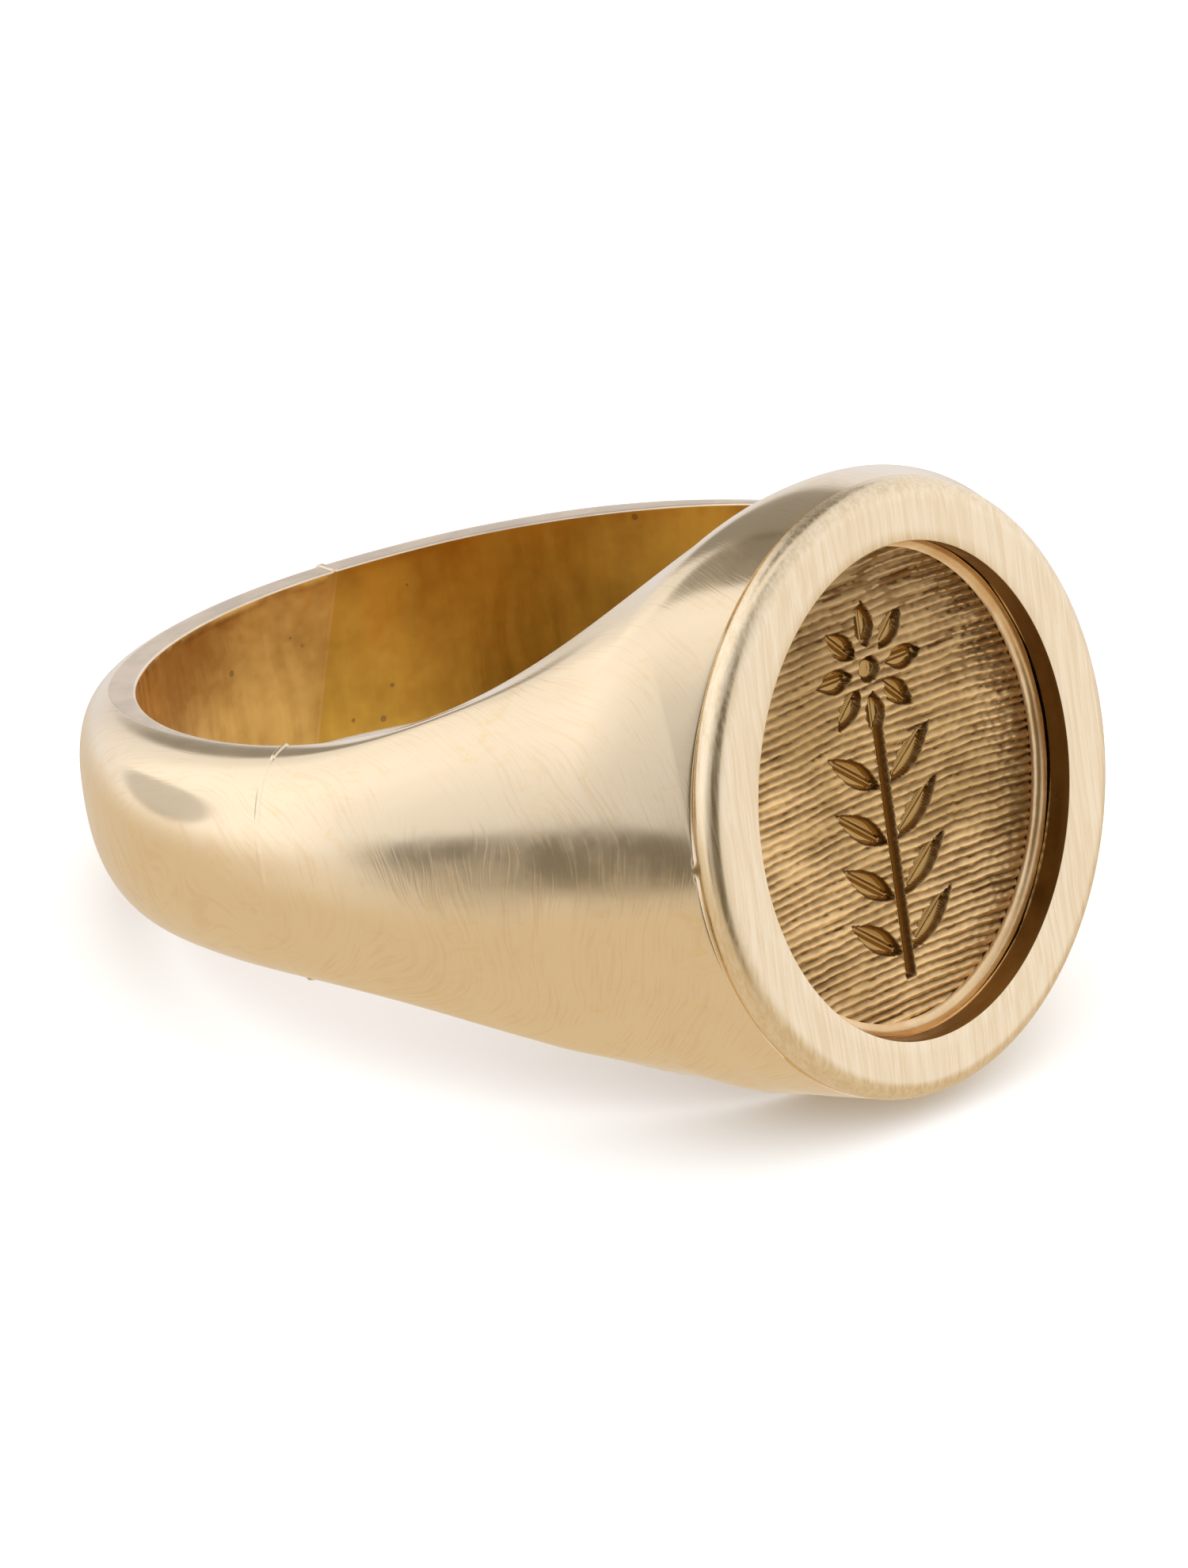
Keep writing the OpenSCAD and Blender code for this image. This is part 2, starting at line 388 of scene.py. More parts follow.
solder = {
    "proud": 0.004,  # how far the solder stands out
    "lumps": 0.012,
    "filedDown": 0.3,  # share of that left inside the hole
    "edgeLump": 0.045,  # but it is left thicker on the flat edges
    "facesUp": 0.9,  # a normal's least height that counts as on a flat edge
    "step": 0.22,  # degrees between sections
    "margin": 0.1,  # degrees at each end that aren't raised
    "lumpSize": 0.45,
}


filing = {
    "proud": 0.008,  # the inside of the sizing piece stands in a little
    "scale": 1.1,  # lumps for each mm
    "fadeFrom": 178,  # degrees from the face
    "fadeOver": 3,
}


def sizingPiece():
    near = skinStrip(-1, evenAngles(ring["sideSeam"] + ring["seamAngle"], 180))
    far = skinStrip(1, evenAngles(ring["palmSeam"], 180))
    sizing = joinPieces("sizing_piece_skin", [near, far])
    closeBand(sizing)
    leanPalmSeam(sizing)

    # its inside was filed by hand and is a little uneven
    for vertex in sizing.data.vertices:
        point = vertex.co / unit
        if onHole(point):
            fade = smoothStep(0, filing["fadeOver"], filing["fadeFrom"] - abs(angleOf(point)))
            inward = filing["proud"] * (1 + noise.noise(point * filing["scale"])) * fade
            vertex.co.x -= vertex.co.x * inward / ring["holeR"]
            vertex.co.y -= vertex.co.y * inward / ring["holeR"]
    return sizing


def solderSeam(name, side, low, high):
    seam = skinStrip(side, evenAngles(low, high, step=solder["step"]))
    seam.name = name
    startEdit(seam)
    bpy.ops.mesh.select_all(action="SELECT")
    bpy.ops.mesh.remove_doubles(threshold=tiny)
    bpy.ops.mesh.normals_make_consistent(inside=False)
    endEdit()
    closeBand(seam)
    normals = [vertex.normal.copy() for vertex in seam.data.vertices]
    for vertex, normal in zip(seam.data.vertices, normals):
        point = vertex.co / unit
        angle = angleOf(point)
        if low + solder["margin"] < angle < high - solder["margin"]:
            lump = solder["lumps"] * max(0, noise.noise(point / solder["lumpSize"]))
            left = solder["filedDown"] if onHole(point) else 1
            if abs(normal.z) > solder["facesUp"]:
                lump += solder["edgeLump"] * math.sin(math.pi * (angle - low) / (high - low))
            vertex.co += normal * (solder["proud"] + lump) * left * unit
    if side > 0:
        leanPalmSeam(seam)
    return seam


rim = {
    "points": 224,
    "roundSteps": 10,
    "breakEdge": 0.035,  # the inner edge is barely broken
    "wallStep": 0.3,  # between two loops of the recess's wall
    "groove": (0.015, 0.02), # in from the edge and up, where the rim meets the head
}


# an oval loop of edges facing front, which the next steps extrude and stretch
def ovalLoop(name, rx, rz, at, points):
    bpy.ops.object.select_all(action="DESELECT")
    bpy.ops.mesh.primitive_circle_add(vertices=points, radius=1, fill_type="NOTHING",
                                      rotation=(math.pi / 2, 0, 0))
    piece = bpy.context.object
    piece.name = name
    piece.scale = (rx * unit, rz * unit, 1)
    piece.location = (0, -at * unit, 0)
    bpy.ops.object.transform_apply(location=True, rotation=True, scale=True)
    return piece


# extrudes the picked loop to each further oval: (rx, rz, distance in front of the hole's centre)
def extrudeOvals(sizes):
    for before, after in zip(sizes, sizes[1:]):
        bpy.ops.mesh.extrude_edges_move(
            TRANSFORM_OT_translate={"value": (0, (before[2] - after[2]) * unit, 0)})
        bpy.ops.transform.resize(value=(after[0] / before[0], 1, after[1] / before[1]),
                                 center_override=(0, -after[2] * unit, 0))


def ovalHoop(name, sizes, points):
    hoop = ovalLoop(name, *sizes[0], points)
    startEdit(hoop, "EDGE")
    bpy.ops.mesh.select_all(action="SELECT")
    extrudeOvals(sizes)
    bpy.ops.mesh.select_all(action="DESELECT")
    bpy.ops.mesh.select_non_manifold(extend=False)
    bpy.ops.mesh.bridge_edge_loops()
    bpy.ops.mesh.select_all(action="SELECT")
    bpy.ops.mesh.normals_make_consistent(inside=False)
    endEdit()
    return hoop


def rimPiece():
    recessX, recessZ, faceAt = ring["recessX"], ring["recessZ"], ring["faceAt"]
    bend, broken = ring["rimRound"], rim["breakEdge"]
    flat = ring["headX"] - bend - recessX
    profile = [(0, ring["seatAt"]), (0, faceAt - rim["wallStep"]), (0, faceAt - broken),
               (0.3 * broken, faceAt - 0.3 * broken), (broken, faceAt),
               (0.35 * flat, faceAt), (0.7 * flat, faceAt), (flat - 0.02, faceAt)]
    for i in range(rim["roundSteps"] + 1):
        turn = 90 * i / rim["roundSteps"]
        profile.append((flat + bend * sind(turn), faceAt - bend * (1 - cosd(turn))))
    low = ring["seatAt"]
    inward, upward = rim["groove"]
    profile += [(flat + bend, low + upward), (flat + bend - inward, low)]
    return ovalHoop("rim", [(recessX + out, recessZ + out, at) for out, at in profile], rim["points"])


bead = {
    "size": 0.24,
    "steps": 7,
    "points": 192,
    "sunk": 0.02,  # how far its foot goes into the plate
    "unevenness": 0.03,
    "waves": 1.3,  # for each mm
}


def beadPiece():
    size, at = bead["size"], ring["plateAt"]
    foot = at - bead["sunk"]
    profile = [(0, foot), (0, at + size)]
    for i in range(1, bead["steps"]):
        turn = 90 * i / bead["steps"]
        profile.append((size * (1 - cosd(turn)), at + size * (1 - sind(turn))))
    profile += [(size, at), (size, foot)]
    piece = ovalHoop("bead", [(ring["recessX"] - inset, ring["recessZ"] - inset, front)
                              for inset, front in profile], bead["points"])
    for vertex in piece.data.vertices:
        if -vertex.co.y > (at + 0.001) * unit:
            swell = 1 + bead["unevenness"] * noise.noise(vertex.co / unit * bead["waves"]) / size
            vertex.co.y = -at * unit + (vertex.co.y + at * unit) * swell
    return piece


plate = {
    "columns": 232,
    "rows": 372,
    "linePitch": 0.205,  # engraved lines across the finger
    "lineDepth": 0.068,
    "lineBow": 0.012,
    "cutDepth": 0.30,
    "cutWall": 0.075,  # width of a cut's sloping side
    "leafLean": 52,
    "leafPairs": 4,
    "leafTaper": 0.35,  # leaves are fullest near the root
    "leafLong": 1.45,  # shares of the distance between pairs of leaves
    "leafWide": 0.54,
    "leafHollow": 0.25,  # share of a cut's depth that grows towards its middle
    "vein": 0.34,  # share of the depth that the middle vein stands up
    "veinWidth": (0.085, 0.02),
    "veinEnds": 0.12,  # half width of the leaf at which the vein is whole
    "petals": 8,
    "petalRoot": 0.3,  # shares of the flower's radius
    "petalLong": 0.7,
    "petalWide": 0.42,
    "eye": 0.2,
    "eyeDepth": 0.8,  # shares of the cut's depth
    "eyeWall": 0.14,
    "stemDepth": 0.9,
    "stemEnds": 0.8,  # slope of the stem's pointed ends
    "stemWall": 1.2,  # times a leaf's sloping side
    "flowerR": 0.175,  # shares of the recess's width or length
    "flowerAt": 0.24,
    "footAt": -0.4,
    "stemWidth": 0.033,
    "calmFrom": 0.965,  # share of the way out beyond which the cutting dies away
    "linesEnd": 0.1,  # depth of a cut at which no lines are left in it
}


# depth of a leaf-shaped cut that starts at a point and grows along a lean from the upright
def leafCut(x, z, rootX, rootZ, lean, length, width):
    dx, dz = x - rootX, z - rootZ
    along = dx * sind(lean) + dz * cosd(lean)
    across = dx * cosd(lean) - dz * sind(lean)
    t = along / length
    if t <= 0 or t >= 1:
        return 0
    half = width / 2 * math.sin(math.pi * t) * (1 - plate["leafTaper"] * t)
    inside = half - abs(across)
    if inside <= 0:
        return 0
    hollow = plate["leafHollow"]
    depth = smoothStep(0, plate["cutWall"], inside) * (1 - hollow + hollow * inside / half)
    vein = plate["vein"] * smoothStep(*plate["veinWidth"], abs(across))
    vein *= smoothStep(0, plate["veinEnds"], half)
    return plate["cutDepth"] * max(0, depth - vein)


def stemCut(x, z, low, high, width):
    if not low < z < high:
        return 0
    inside = min(width / 2 - abs(x), (z - low) * plate["stemEnds"], (high - z) * plate["stemEnds"])
    wall = plate["cutWall"] * plate["stemWall"]
    return plate["cutDepth"] * plate["stemDepth"] * smoothStep(0, wall, inside)


def emblemDepth(x, z):
    width, length = ring["recessX"] * 2, ring["recessZ"] * 2
    flowerR, flowerAt = width * plate["flowerR"], length * plate["flowerAt"]
    footAt, stem = length * plate["footAt"], width * plate["stemWidth"]
    depth = 0
    if (z - flowerAt) ** 2 + x * x < (flowerR * 1.05) ** 2:
        for i in range(plate["petals"]):
            lean = 360 * i / plate["petals"]
            root = plate["petalRoot"] * flowerR
            depth = max(depth, leafCut(x, z, root * sind(lean), flowerAt + root * cosd(lean), lean,
                                       plate["petalLong"] * flowerR, plate["petalWide"] * flowerR))
        eye = plate["eye"] * flowerR - math.hypot(x, z - flowerAt)
        depth = max(depth, plate["cutDepth"] * plate["eyeDepth"] * smoothStep(0, plate["eyeWall"], eye))
    stemLength = flowerAt - 0.8 * flowerR - footAt
    depth = max(depth, stemCut(x, z, footAt, footAt + stemLength, stem))
    pitch = stemLength / (plate["leafPairs"] + 0.6)
    for i in range(plate["leafPairs"]):
        rootZ = footAt + pitch * (i + 0.4)
        for side in (-1, 1):
            lean = side * plate["leafLean"]
            depth = max(depth, leafCut(x, z, stem / 2 * sind(lean), rootZ + stem / 2 * cosd(lean),
                                       lean, pitch * plate["leafLong"], pitch * plate["leafWide"]))
    return depth


ground = {
    "wander": 0.07,  # millimetres that whole lines drift, and how often for each mm
    "wanderScale": 0.6,
    "shiver": 0.02,  # and that the cutter shivers
    "shiverScale": (2.5, 1.5),
    "sharpness": 0.8,  # below 1 the ridges are broad and the grooves narrow
    "strength": (0.8, 0.55), # the least depth of a line, and how much it varies
    "strengthScale": 0.8,
    "chatter": 0.2,
    "chatterScale": (6, 9),
    "lineShift": (3.7, 5.3), # tells one line's noise from the next one's
    "seeds": (3, 9, 21),
}


# the ground is cut with lines by hand, so they wander and vary in depth
def groundDepth(x, z):
    drift, shiver, start = ground["seeds"]
    often = ground["wanderScale"]
    acrossOften, upOften = ground["shiverScale"]
    wander = ground["wander"] * noise.noise(Vector((x * often, drift, z * often)))
    wander += ground["shiver"] * noise.noise(Vector((x * acrossOften, shiver, z * upOften)))
    line = (z + plate["lineBow"] * x * x + wander) / plate["linePitch"]
    whole = math.floor(line)
    wave = abs(2 * (line - whole) - 1)
    least, varies = ground["strength"]
    strengthShift, chatterShift = ground["lineShift"]
    along = x * ground["strengthScale"]
    strength = least + varies * noise.noise(Vector((along, start + whole * strengthShift, 0)))
    acrossOften, upOften = ground["chatterScale"]
    chatter = ground["chatter"] * noise.noise(Vector((x * acrossOften, whole * chatterShift, z * upOften)))
    return plate["lineDepth"] * (strength * wave ** ground["sharpness"] + chatter)


def platePiece():
    columns, rows = plate["columns"], plate["rows"]
    recessX, recessZ = ring["recessX"], ring["recessZ"]

    def law(column, row):
        x = recessX * (2 * column / columns - 1)
        z = recessZ * (2 * row / rows - 1)
        return -x, -ring["plateAt"], z

    piece = lawGrid("plate", columns, rows, law)

    # trims the corners off, then draws the ragged border out to the oval
    startEdit(piece, "FACE")
    bpy.ops.object.mode_set(mode="OBJECT")
    for face in piece.data.polygons:
        x, z = face.center.x / unit / recessX, face.center.z / unit / recessZ
        face.select = x * x + z * z > 1
    bpy.ops.object.mode_set(mode="EDIT")
    bpy.ops.mesh.delete(type="FACE")
    bpy.ops.mesh.select_mode(type="EDGE")
    bpy.ops.mesh.select_non_manifold(extend=False)
    bpy.ops.object.mode_set(mode="OBJECT")
    for vertex in piece.data.vertices:
        x, z = vertex.co.x / unit, vertex.co.z / unit
        share = math.hypot(x / recessX, z / recessZ)
        if vertex.select:
            vertex.co.x /= share
            vertex.co.z /= share
        inside = smoothStep(1, plate["calmFrom"], share)
        cut = emblemDepth(x, z)
        depth = cut + groundDepth(x, z) * (1 - smoothStep(0, plate["linesEnd"], cut)) if inside else 0
        vertex.co.y += depth * inside * unit
    bpy.ops.object.mode_set(mode="EDIT")
    bpy.ops.mesh.extrude_edges_move(
        TRANSFORM_OT_translate={"value": (0, (ring["plateAt"] - ring["wellAt"]) * unit, 0)})
    bpy.ops.mesh.edge_face_add()
    bpy.ops.mesh.select_all(action="SELECT")
    bpy.ops.mesh.normals_make_consistent(inside=False)
    endEdit()
    return piece


def newGroup(name, inputs, outputs):
    group = bpy.data.node_groups.new(name, "ShaderNodeTree")
    for label, kind, value in inputs:
        socket = group.interface.new_socket(name=label, in_out="INPUT", socket_type=kind)
        if value is not None:
            socket.default_value = value
    for label, kind in outputs:
        group.interface.new_socket(name=label, in_out="OUTPUT", socket_type=kind)
    start = group.nodes.new("NodeGroupInput")
    end = group.nodes.new("NodeGroupOutput")
    return group, start, end


def mathNode(tree, operation, first, second=None):
    node = tree.nodes.new("ShaderNodeMath")
    node.operation = operation
    for socket, value in zip(node.inputs, (first, second)):
        if isinstance(value, (int, float)):
            socket.default_value = value
        elif value is not None:
            tree.links.new(value, socket)
    return node.outputs[0]


def mixColor(tree, amount, first, second, blend="MIX"):
    node = tree.nodes.new("ShaderNodeMix")
    node.data_type = "RGBA"
    node.blend_type = blend
    sockets = [node.inputs[0], node.inputs[6], node.inputs[7]]
    for socket, value in zip(sockets, (amount, first, second)):
        if isinstance(value, bpy.types.NodeSocket):
            tree.links.new(value, socket)
        elif isinstance(value, (int, float)):
            socket.default_value = value
        else:
            socket.default_value = (*value, 1)
    return node.outputs[2]


def noiseNode(tree, vector, scale, detail=2, roughness=0.5, distortion=0):
    node = tree.nodes.new("ShaderNodeTexNoise")
    tree.links.new(vector, node.inputs["Vector"])
    node.inputs["Scale"].default_value = scale
    node.inputs["Detail"].default_value = detail
    node.inputs["Roughness"].default_value = roughness
    node.inputs["Distortion"].default_value = distortion
    return node.outputs["Fac"]


def rangeNode(tree, value, low, high, outLow=0.0, outHigh=1.0):
    node = tree.nodes.new("ShaderNodeMapRange")
    node.interpolation_type = "SMOOTHSTEP"
    tree.links.new(value, node.inputs["Value"])
    for label, number in (("From Min", low), ("From Max", high), ("To Min", outLow), ("To Max", outHigh)):
        node.inputs[label].default_value = number
    return node.outputs["Result"]


def rangeLinear(tree, value, low, high):
    return mathNode(tree, "DIVIDE", mathNode(tree, "SUBTRACT", value, low), high - low)


def mappingNode(tree, vector, scale, rotation=(0, 0, 0)):
    node = tree.nodes.new("ShaderNodeMapping")
    tree.links.new(vector, node.inputs["Vector"])
    node.inputs["Scale"].default_value = scale
    node.inputs["Rotation"].default_value = rotation
    return node.outputs["Vector"]


swirl = {
    "bendScale": 220,
    "bend": 0.0011,
    "layers": ((0.3, 26000), (1.1, 21000), (2.0, 30000), (2.8, 24000)),  # turn and fineness
    "turns": (1.3, 0.7, 1),
    "stretch": (1, 0.03, 0.03),
    "thin": (0.54, 0.72),
    "gapScale": 300,
    "gapStep": 90,
    "gaps": (0.45, 0.62),
}


# fine arcs that cross each other, as a polishing wheel and wear leave them
def swirlGroup():
    group, start, end = newGroup("swirl scratches", [("Vector", "NodeSocketVector", None)],
                                 [("Height", "NodeSocketFloat"), ("Mask", "NodeSocketFloat")])
    bent = mixedCoordinates(group, start.outputs["Vector"], swirl["bendScale"], swirl["bend"])
    total = None
    for turn, scale in swirl["layers"]:
        lines = mappingNode(group, bent, scale=swirl["stretch"],
                            rotation=tuple(turn * share for share in swirl["turns"]))
        thin = rangeNode(group, noiseNode(group, lines, scale, detail=1), *swirl["thin"])
        gapScale = swirl["gapScale"] + swirl["gapStep"] * turn
        gaps = rangeNode(group, noiseNode(group, bent, gapScale, detail=2), *swirl["gaps"])
        thin = mathNode(group, "MULTIPLY", thin, gaps)
        total = thin if total is None else mathNode(group, "MAXIMUM", total, thin)
    group.links.new(total, end.inputs["Mask"])
    group.links.new(mathNode(group, "SUBTRACT", 1.0, total), end.inputs["Height"])
    return group


# coordinates pushed about by a soft noise, so that straight patterns wander
def mixedCoordinates(tree, vector, scale, amount):
    node = tree.nodes.new("ShaderNodeTexNoise")
    tree.links.new(vector, node.inputs["Vector"])
    node.inputs["Scale"].default_value = scale
    centred = tree.nodes.new("ShaderNodeVectorMath")
    centred.operation = "SUBTRACT"
    tree.links.new(node.outputs["Color"], centred.inputs[0])
    centred.inputs[1].default_value = (0.5, 0.5, 0.5)
    scaled = tree.nodes.new("ShaderNodeVectorMath")
    scaled.operation = "SCALE"
    tree.links.new(centred.outputs[0], scaled.inputs[0])
    scaled.inputs["Scale"].default_value = amount
    added = tree.nodes.new("ShaderNodeVectorMath")
    tree.links.new(vector, added.inputs[0])
    tree.links.new(scaled.outputs[0], added.inputs[1])
    return added.outputs[0]


grainMix = {
    "fine": 0.6,
    "coarse": 0.4,
    "coarser": 0.35,  # scale of the coarse noise beside the fine one
    "streaks": (0.35, 0.65),
}


# straight brushing along one direction, given by how the coordinates are stretched
def grainGroup():
    group, start, end = newGroup("brushed grain",
                                 [("Vector", "NodeSocketVector", None), ("Scale", "NodeSocketFloat", 3000)],
                                 [("Height", "NodeSocketFloat"), ("Streaks", "NodeSocketFloat")])
    fine = group.nodes.new("ShaderNodeTexNoise")
    coarse = group.nodes.new("ShaderNodeTexNoise")
    for node, share, detail in ((fine, 1.0, 3), (coarse, grainMix["coarser"], 2)):
        group.links.new(start.outputs["Vector"], node.inputs["Vector"])
        group.links.new(mathNode(group, "MULTIPLY", start.outputs["Scale"], share), node.inputs["Scale"])
        node.inputs["Detail"].default_value = detail
    both = mathNode(group, "ADD", mathNode(group, "MULTIPLY", fine.outputs["Fac"], grainMix["fine"]),
                    mathNode(group, "MULTIPLY", coarse.outputs["Fac"], grainMix["coarse"]))
    group.links.new(both, end.inputs["Height"])
    group.links.new(rangeNode(group, both, *grainMix["streaks"]), end.inputs["Streaks"])
    return group


patinaMix = {
    "clouds": (0.36, 0.66),
    "pitPatches": 700,
    "pitted": (0.56, 0.62),
}


# cloudy tarnish and handling marks, and small dark pits
def patinaGroup():
    group, start, end = newGroup("patina and pits",
                                 [("Vector", "NodeSocketVector", None),
                                  ("Cloud Scale", "NodeSocketFloat", 500),
                                  ("Pit Scale", "NodeSocketFloat", 1500),
                                  ("Pit Size", "NodeSocketFloat", 0.12)],
                                 [("Clouds", "NodeSocketFloat"), ("Pits", "NodeSocketFloat")])
    clouds = group.nodes.new("ShaderNodeTexNoise")
    group.links.new(start.outputs["Vector"], clouds.inputs["Vector"])
    group.links.new(start.outputs["Cloud Scale"], clouds.inputs["Scale"])
    clouds.inputs["Detail"].default_value = 4
    clouds.inputs["Roughness"].default_value = 0.6
    group.links.new(rangeNode(group, clouds.outputs["Fac"], *patinaMix["clouds"]), end.inputs["Clouds"])
    pits = group.nodes.new("ShaderNodeTexVoronoi")
    group.links.new(start.outputs["Vector"], pits.inputs["Vector"])
    group.links.new(start.outputs["Pit Scale"], pits.inputs["Scale"])
    patches = noiseNode(group, start.outputs["Vector"], patinaMix["pitPatches"], detail=1)
    chosen = rangeNode(group, patches, *patinaMix["pitted"])
    near = mathNode(group, "LESS_THAN", pits.outputs["Distance"], start.outputs["Pit Size"])
    group.links.new(mathNode(group, "MULTIPLY", near, chosen), end.inputs["Pits"])
    return group


groups = {"swirl": swirlGroup(), "grain": grainGroup(), "patina": patinaGroup()}


def useGroup(tree, name, vector, **values):
    node = tree.nodes.new("ShaderNodeGroup")
    node.node_tree = groups[name]
    tree.links.new(vector, node.inputs["Vector"])
    for key, value in values.items():
        node.inputs[key].default_value = value
    return node


def newMetal(name, roughness):
    material = bpy.data.materials.new(name)
    material.use_nodes = True
    tree = material.node_tree
    shader = tree.nodes["Principled BSDF"]
    shader.inputs["Metallic"].default_value = 1
    shader.inputs["Roughness"].default_value = roughness
    place = tree.nodes.new("ShaderNodeTexCoord").outputs["Object"]
    return material, tree, shader, place


def addBump(tree, shader, height, distance, strength=1.0, before=None):
    bump = tree.nodes.new("ShaderNodeBump")
    bump.inputs["Strength"].default_value = strength
    bump.inputs["Distance"].default_value = distance
    tree.links.new(height, bump.inputs["Height"])
    if before is not None:
        tree.links.new(before, bump.inputs["Normal"])
    tree.links.new(bump.outputs["Normal"], shader.inputs["Normal"])
    return bump.outputs["Normal"]


finish = {
    "gold": (0.93, 0.745, 0.483),
    # the hole walls' deep orange is painted shade and a painted reflection of the gold around them
    "shadedHoleGold": (0.71, 0.395, 0.06),
    "shadedFiledGold": (0.77, 0.44, 0.11),
    # the recess wall's dark brown is painted shade
    "shadedRecessBrown": (0.33, 0.185, 0.055),
    "satinGold": (0.95, 0.79, 0.60),
    "darkPatina": (0.20, 0.11, 0.045),
}

polished = {
    "warmer": (0.99, 0.90, 0.72),  # shares of the gold's red, green and blue
    "wispStretch": (1, 1, 2.2),
    "wispScale": 1900,
    "wisps": (0.50, 0.68),
    "wispShare": 0.55,
    "swirlShare": 0.32,
    "swirlGold": (0.86, 0.60, 0.33),
    "roughness": 0.12,
    "cloudRoughness": 0.07,
    "swirlRoughness": 0.05,
    "waves": (330, 0.00002, 0.25),  # scale, height and strength
    "scratches": (0.0000015, 0.3),
}


def tinted(color, shares):
    return tuple(channel * share for channel, share in zip(color, shares))


def polishedGold():
    material, tree, shader, place = newMetal("polished gold", 0.16)
    arcs = useGroup(tree, "swirl", place)
    patina = useGroup(tree, "patina", place, **{"Cloud Scale": 650})
    stretched = mappingNode(tree, place, scale=polished["wispStretch"])
    wisps = noiseNode(tree, stretched, polished["wispScale"], detail=5, roughness=0.7, distortion=0.6)
    spread = mathNode(tree, "MULTIPLY", rangeNode(tree, wisps, *polished["wisps"]),
                      rangeNode(tree, patina.outputs["Clouds"], 0.1, 0.9))
    color = mixColor(tree, mathNode(tree, "MULTIPLY", spread, polished["wispShare"]),
                     finish["gold"], tinted(finish["gold"], polished["warmer"]))
    color = mixColor(tree, mathNode(tree, "MULTIPLY", arcs.outputs["Mask"], polished["swirlShare"]),
                     color, polished["swirlGold"])
    tree.links.new(color, shader.inputs["Base Color"])
    clouded = mathNode(tree, "MULTIPLY", patina.outputs["Clouds"], polished["cloudRoughness"])
    scratched = mathNode(tree, "MULTIPLY", arcs.outputs["Mask"], polished["swirlRoughness"])
    rough = mathNode(tree, "ADD", mathNode(tree, "ADD", clouded, polished["roughness"]), scratched)
    tree.links.new(rough, shader.inputs["Roughness"])
    scale, height, strength = polished["waves"]
    soft = addBump(tree, shader, noiseNode(tree, place, scale, detail=1), height, strength=strength)
    height, strength = polished["scratches"]
    addBump(tree, shader, arcs.outputs["Height"], height, strength=strength, before=soft)
    return material


wall = {
    "cloudScale": 330,
    "bend": (600, 0.0006),
    "stretch": (1, 1, 0.12),
    "turn": (0.2, 0.25, 0),
    "grainScale": 2600,
    "darker": (0.66, 0.60, 0.5),
    "cloudShare": 0.8,
    "pitShare": 0.6,
    "grainRoughness": 0.12,
    "waves": (900, 0.00004, 0.5),  # scale, height and strength
    "grainHeight": 0.00002,
    "grainStrength": 0.5,
}


# an inside wall: tarnish clouds and pits over a colour that carries painted shade; marks says how deep its
# streaks and waves are
def wallGold(name, color, roughness, marks):
    material, tree, shader, place = newMetal(name, roughness)
    patina = useGroup(tree, "patina", place, **{"Cloud Scale": wall["cloudScale"]})
    streaks = mappingNode(tree, mixedCoordinates(tree, place, *wall["bend"]),
                          scale=wall["stretch"], rotation=wall["turn"])
    grain = useGroup(tree, "grain", streaks, Scale=wall["grainScale"])
    shade = mixColor(tree, mathNode(tree, "MULTIPLY", patina.outputs["Clouds"], wall["cloudShare"]),
                     color, tinted(color, wall["darker"]))
    shade = mixColor(tree, mathNode(tree, "MULTIPLY", patina.outputs["Pits"], wall["pitShare"]),
                     shade, finish["darkPatina"])
    tree.links.new(shade, shader.inputs["Base Color"])
    grained = mathNode(tree, "MULTIPLY", grain.outputs["Streaks"], wall["grainRoughness"])
    tree.links.new(mathNode(tree, "ADD", roughness - 0.05, grained), shader.inputs["Roughness"])
    scale, height, strength = wall["waves"]
    soft = addBump(tree, shader, noiseNode(tree, place, scale, detail=2), height * marks, strength=strength)
    addBump(tree, shader, grain.outputs["Height"], wall["grainHeight"] * marks,
            strength=wall["grainStrength"], before=soft)
    return material


satin = {
    "roughness": 0.42,
    "bend": (1500, 0.0003),
    "grainScale": 4200,
    "cloudScale": 900,
    "duller": (0.8, 0.8, 0.8),
    "cloudShare": 0.6,
    "grainHeight": 0.00001,
    "grainStrength": 0.4,
}


def satinEdge():
    material, tree, shader, place = newMetal("satin edge", satin["roughness"])
    grain = useGroup(tree, "grain", mixedCoordinates(tree, place, *satin["bend"]), Scale=satin["grainScale"])
    patina = useGroup(tree, "patina", place, **{"Cloud Scale": satin["cloudScale"]})
    color = mixColor(tree, mathNode(tree, "MULTIPLY", patina.outputs["Clouds"], satin["cloudShare"]),
                     finish["satinGold"], tinted(finish["satinGold"], satin["duller"]))
    tree.links.new(color, shader.inputs["Base Color"])
    addBump(tree, shader, grain.outputs["Height"], satin["grainHeight"], strength=satin["grainStrength"])
    return material


brushed = {
    "bend": (260, 0.0004),
    "stretch": (1, 1, 0.035),
    "turn": (0, 0.16, 0),
    "grainScale": 15000,
    "duller": (0.91, 0.88, 0.82),
    "brightGold": (0.97, 0.80, 0.55),
    "roughness": 0.24,
    "grainRoughness": 0.12,
    "grainHeight": 0.000004,
    "grainStrength": 0.4,
}


def brushedRim():
    material, tree, shader, place = newMetal("brushed rim", 0.3)
    lines = mappingNode(tree, mixedCoordinates(tree, place, *brushed["bend"]),
                        scale=brushed["stretch"], rotation=brushed["turn"])
    grain = useGroup(tree, "grain", lines, Scale=brushed["grainScale"])
    color = mixColor(tree, grain.outputs["Streaks"], tinted(finish["gold"], brushed["duller"]),
                     brushed["brightGold"])
    tree.links.new(color, shader.inputs["Base Color"])
    grained = mathNode(tree, "MULTIPLY", grain.outputs["Streaks"], brushed["grainRoughness"])
    tree.links.new(mathNode(tree, "ADD", brushed["roughness"], grained), shader.inputs["Roughness"])
    addBump(tree, shader, grain.outputs["Height"], brushed["grainHeight"], strength=brushed["grainStrength"])
    return material


